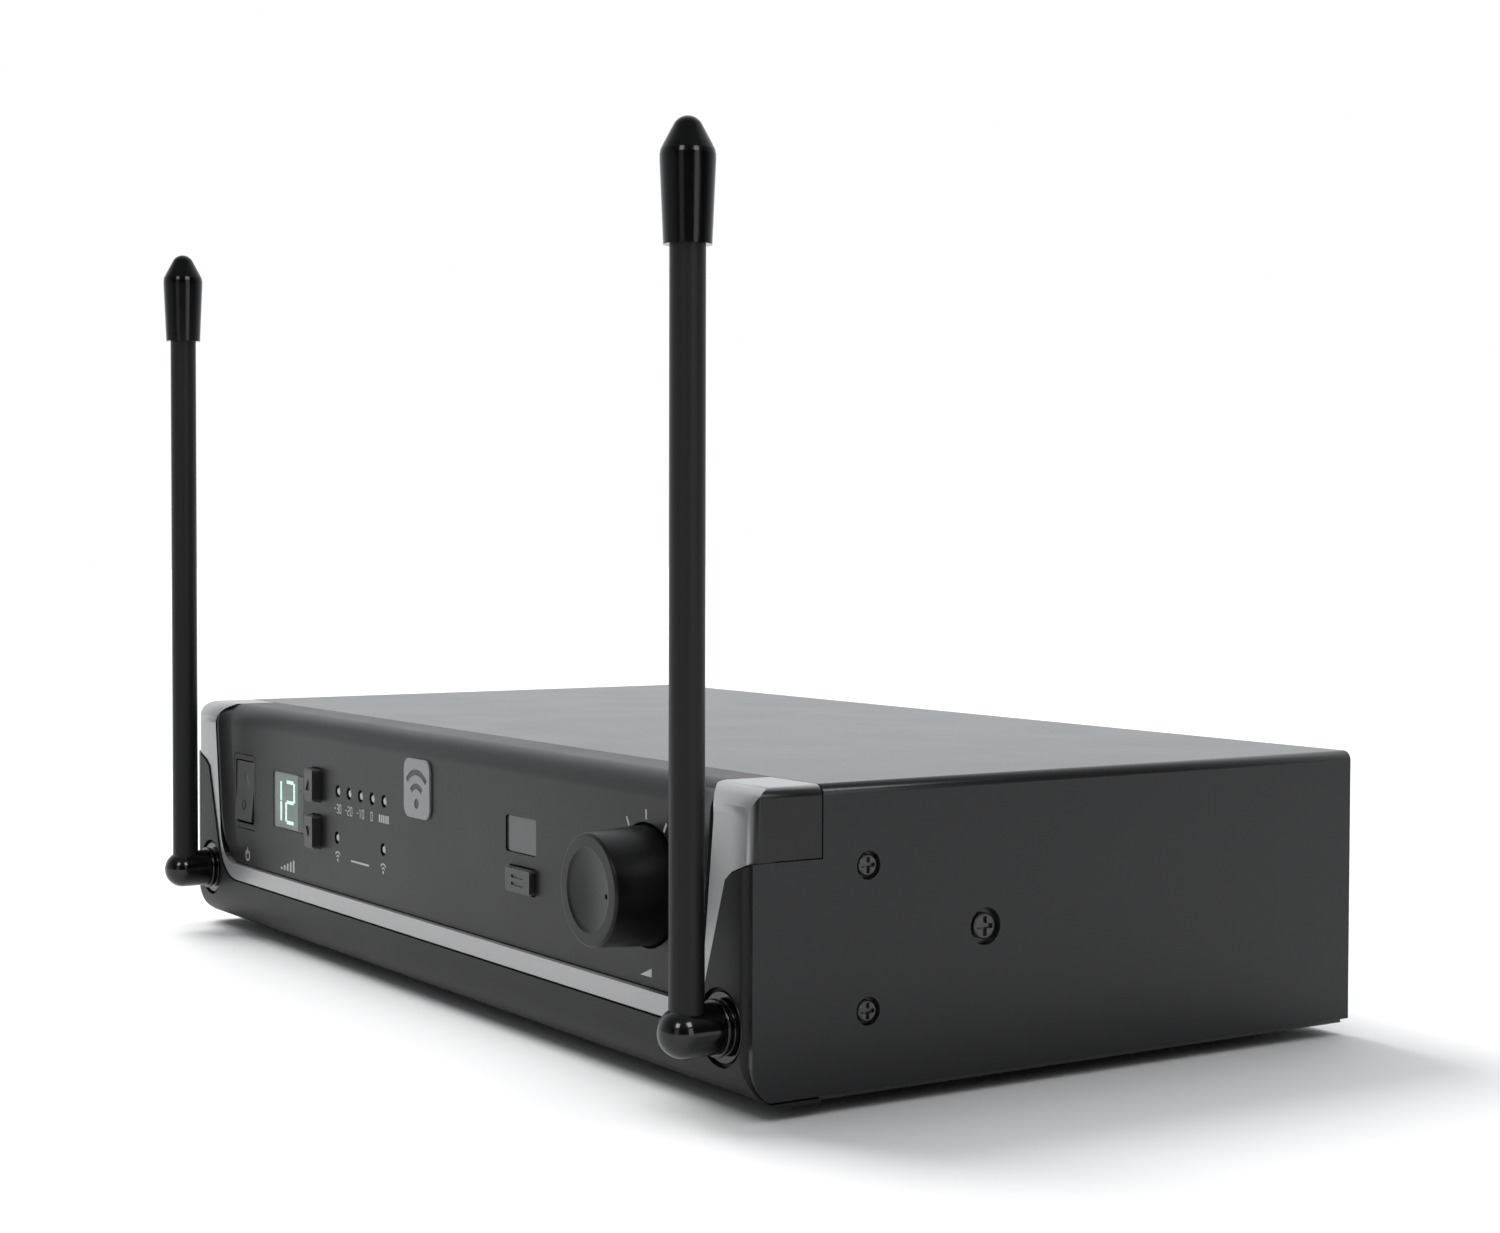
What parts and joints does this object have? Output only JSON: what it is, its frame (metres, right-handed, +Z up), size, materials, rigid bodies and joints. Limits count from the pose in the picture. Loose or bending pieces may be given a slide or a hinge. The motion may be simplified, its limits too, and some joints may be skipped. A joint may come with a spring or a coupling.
{
  "type": "wireless microphone receiver",
  "caption": "Half-rack wireless microphone receiver in a steel case with a moulded front, display, volume knob and swivel whip antennas; audio and power sockets at the back.",
  "frame": {"origin": "middle of the bounding box in X and Y, on the surface the feet stand on", "axes": "+X to the right seen from the front, +Y from the front to the rear panel, +Z up"},
  "size_m": [0.211, 0.1264, 0.1368],
  "materials": {
    "cover_steel": "fine textured powder coat",
    "tray_steel": "satin powder coat",
    "bezel_plastic": "fine spark-eroded texture",
    "accent_silver": "satin silver paint",
    "fascia_plastic": "satin",
    "badge_grey": "satin",
    "display_glass": "clear, glossy",
    "display_lit": "self-lit",
    "ir_plastic": "glossy",
    "lamp_clear": "frosted lens",
    "dark_plastic": "matt",
    "rocker_plastic": "satin",
    "button_plastic": "satin",
    "knob_rubber": "soft-touch",
    "board_green": "solder mask",
    "zinc_grey": "plated",
    "nickel": "plated, satin",
    "tinplate": "tinned",
    "ribbon_grey": "ribbed",
    "lead_black": "smooth jacket",
    "connector_black": "satin",
    "contact_gold": "gold plated",
    "screw_black": "black zinc",
    "trimmer_blue": "glossy",
    "trimmer_white": "matt",
    "sink_aluminium": "anodised",
    "capacitor_sleeve": "shrunk sleeve",
    "foot_rubber": "matt",
    "barrel_black": "glossy",
    "whip_rubber": "matt",
    "cap_black": "glossy"
  },
  "bodies": {
    "chassis": {"top_cover": "cover_steel", "base_tray": "tray_steel", "bezel_frame": "bezel_plastic", "accent_trim": "accent_silver", "front_fascia": "fascia_plastic", "badge_plate": "badge_grey", "display_window": "display_glass", "display_module": "dark_plastic", "display_segments": "display_lit", "ir_window": "ir_plastic", "level_leds": "lamp_clear", "antenna_leds": "lamp_clear", "rocker_frame": "dark_plastic", "rocker_switch_body": "dark_plastic", "front_pcb": "board_green", "main_pcb": "board_green", "tact_switches": "dark_plastic", "pot_body": "zinc_grey", "pot_nut": "nickel", "tuner_shield_left": "tinplate", "tuner_shield_right": "tinplate", "ribbon_cable": "ribbon_grey", "antenna_lead_left": "lead_black", "antenna_lead_right": "lead_black", "xlr_shell": "connector_black", "xlr_pins": "contact_gold", "xlr_screws": "screw_black", "jack_body": "dark_plastic", "jack_nut": "nickel", "dc_socket": "dark_plastic", "dc_socket_pin": "nickel", "level_switch_body": "dark_plastic", "squelch_body": "trimmer_blue", "heat_sink": "sink_aluminium", "capacitors": "capacitor_sleeve", "standoffs": "nickel", "pcb_screws": "nickel", "front_side_screws": "screw_black", "cover_side_screws": "screw_black", "feet": "foot_rubber", "antenna_bushing_left": "barrel_black", "antenna_bushing_right": "barrel_black", "antenna_nuts": "nickel"},
    "knob": {"volume_knob": "knob_rubber", "pot_shaft": "nickel"},
    "rocker": {"power_rocker": "rocker_plastic"},
    "up_button": {"channel_up_button": "button_plastic"},
    "down_button": {"channel_down_button": "button_plastic"},
    "sync": {"sync_button": "button_plastic"},
    "level_slider": {"level_switch_slider": "connector_black"},
    "squelch": {"squelch_rotor": "trimmer_white"},
    "left_antenna": {"antenna_barrel_left": "barrel_black", "antenna_whip_left": "whip_rubber", "antenna_cap_left": "cap_black"},
    "right_antenna": {"antenna_barrel_right": "barrel_black", "antenna_whip_right": "whip_rubber", "antenna_cap_right": "cap_black"}
  },
  "joints": [
    {"name": "volume_turn", "type": "hinge", "parent": "chassis", "child": "knob", "pos_m": [0.0756, -0.0616, 0.0291], "axis": [0, -1, 0], "range_deg": [-150, 150]},
    {"name": "power_rock", "type": "hinge", "parent": "chassis", "child": "rocker", "pos_m": [-0.0822, -0.0497, 0.0289], "axis": [1, 0, 0], "range_deg": [0, 6]},
    {"name": "up_press", "type": "slide", "parent": "chassis", "child": "up_button", "axis": [0, 1, 0], "range_m": [0, 0.0005], "stiffness_N_per_m": 300, "springref_m": -0.0008},
    {"name": "down_press", "type": "slide", "parent": "chassis", "child": "down_button", "axis": [0, 1, 0], "range_m": [0, 0.0005], "stiffness_N_per_m": 300, "springref_m": -0.0008},
    {"name": "sync_press", "type": "slide", "parent": "chassis", "child": "sync", "axis": [0, 1, 0], "range_m": [0, 0.0005], "stiffness_N_per_m": 300, "springref_m": -0.0008},
    {"name": "level_slide", "type": "slide", "parent": "chassis", "child": "level_slider", "axis": [1, 0, 0], "range_m": [0, 0.003]},
    {"name": "squelch_turn", "type": "hinge", "parent": "chassis", "child": "squelch", "pos_m": [0.034, 0.0608, 0.0156], "axis": [0, 1, 0], "range_deg": [-135, 135]},
    {"name": "left_antenna_swing", "type": "hinge", "parent": "chassis", "child": "left_antenna", "pos_m": [-0.0978, -0.0536, 0.0121], "axis": [0, 1, 0], "range_deg": [-90, 90]},
    {"name": "right_antenna_swing", "type": "hinge", "parent": "chassis", "child": "right_antenna", "pos_m": [0.0978, -0.0536, 0.0121], "axis": [0, 1, 0], "range_deg": [-20, 90]}
  ]
}
